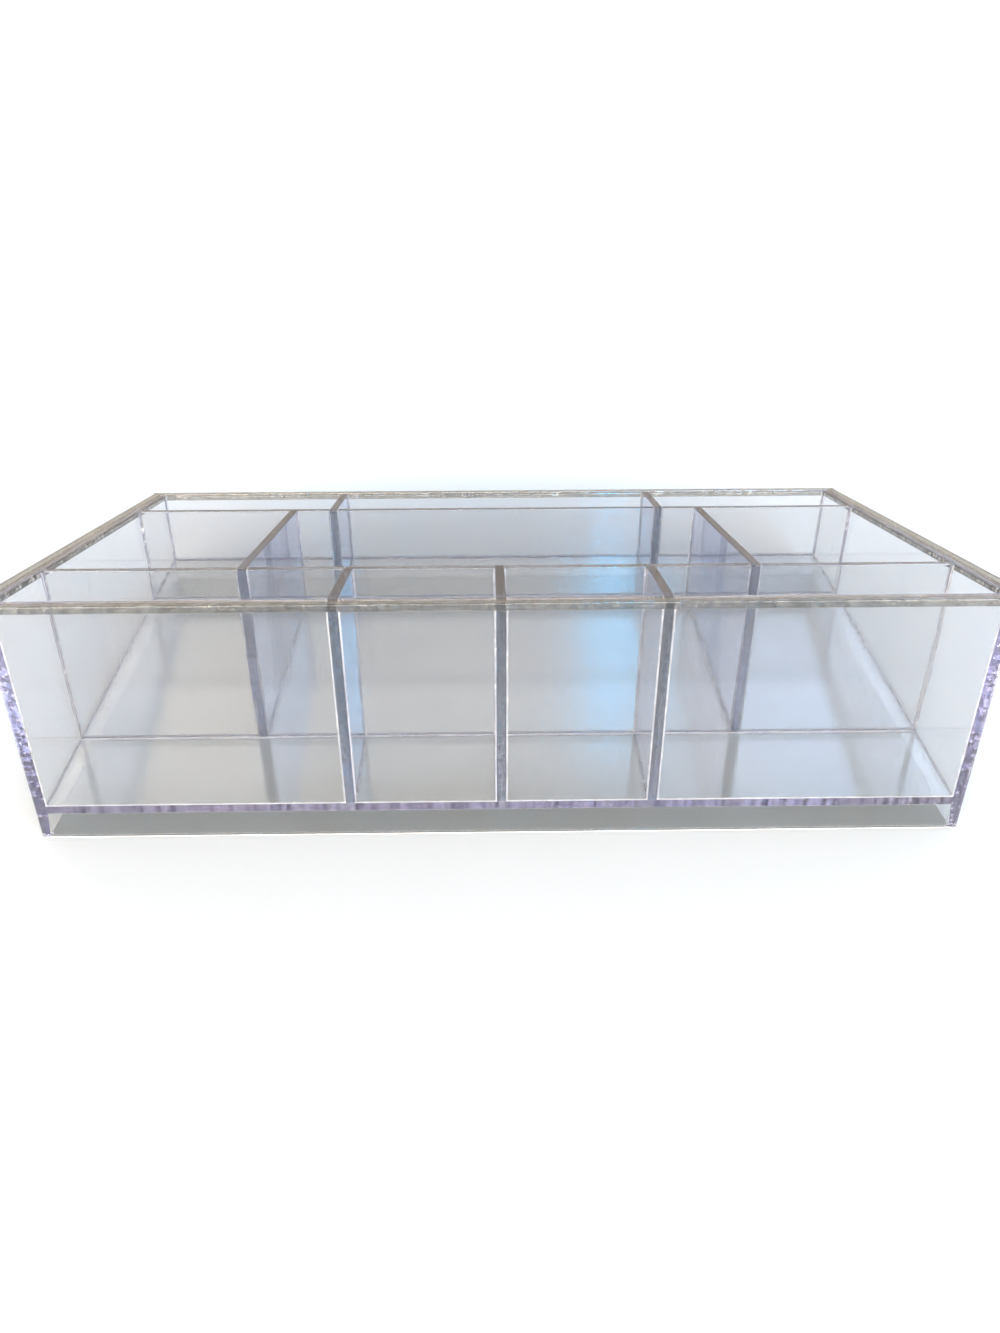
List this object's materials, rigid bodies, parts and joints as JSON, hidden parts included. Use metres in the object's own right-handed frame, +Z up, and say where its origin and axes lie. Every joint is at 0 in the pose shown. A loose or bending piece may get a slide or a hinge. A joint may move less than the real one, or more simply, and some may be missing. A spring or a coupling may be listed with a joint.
{
  "type": "vanity organizer",
  "caption": "Clear wedge-shaped vanity tray with a raised floor and a thickened sloping rim, divided by upright panels into rows of open compartments for cosmetics.",
  "frame": {"origin": "middle of the outline, on the surface that the tray stands on", "axes": "+X along the width, +Y from the tall wall to the low wall, +Z up"},
  "size_m": [0.296, 0.184, 0.0851],
  "materials": {
    "clear_sheet": "clear cast acrylic sheet with flame-polished edges and a faint violet tint",
    "rim_strip": "clear acrylic strip, polished, cemented round the rim"
  },
  "bodies": {
    "root": {"floor_panel": "clear_sheet", "tall_wall": "clear_sheet", "low_wall": "clear_sheet", "left_wall": "clear_sheet", "right_wall": "clear_sheet", "tall_partition": "clear_sheet", "low_partition": "clear_sheet", "tall_row_divider_left": "clear_sheet", "tall_row_divider_centre": "clear_sheet", "tall_row_divider_right": "clear_sheet", "middle_row_divider_left": "clear_sheet", "middle_row_divider_right": "clear_sheet", "low_row_divider_left": "clear_sheet", "low_row_divider_right": "clear_sheet", "tall_rim_strip": "rim_strip", "low_rim_strip": "rim_strip", "left_rim_strip": "rim_strip", "right_rim_strip": "rim_strip"}
  },
  "joints": []
}
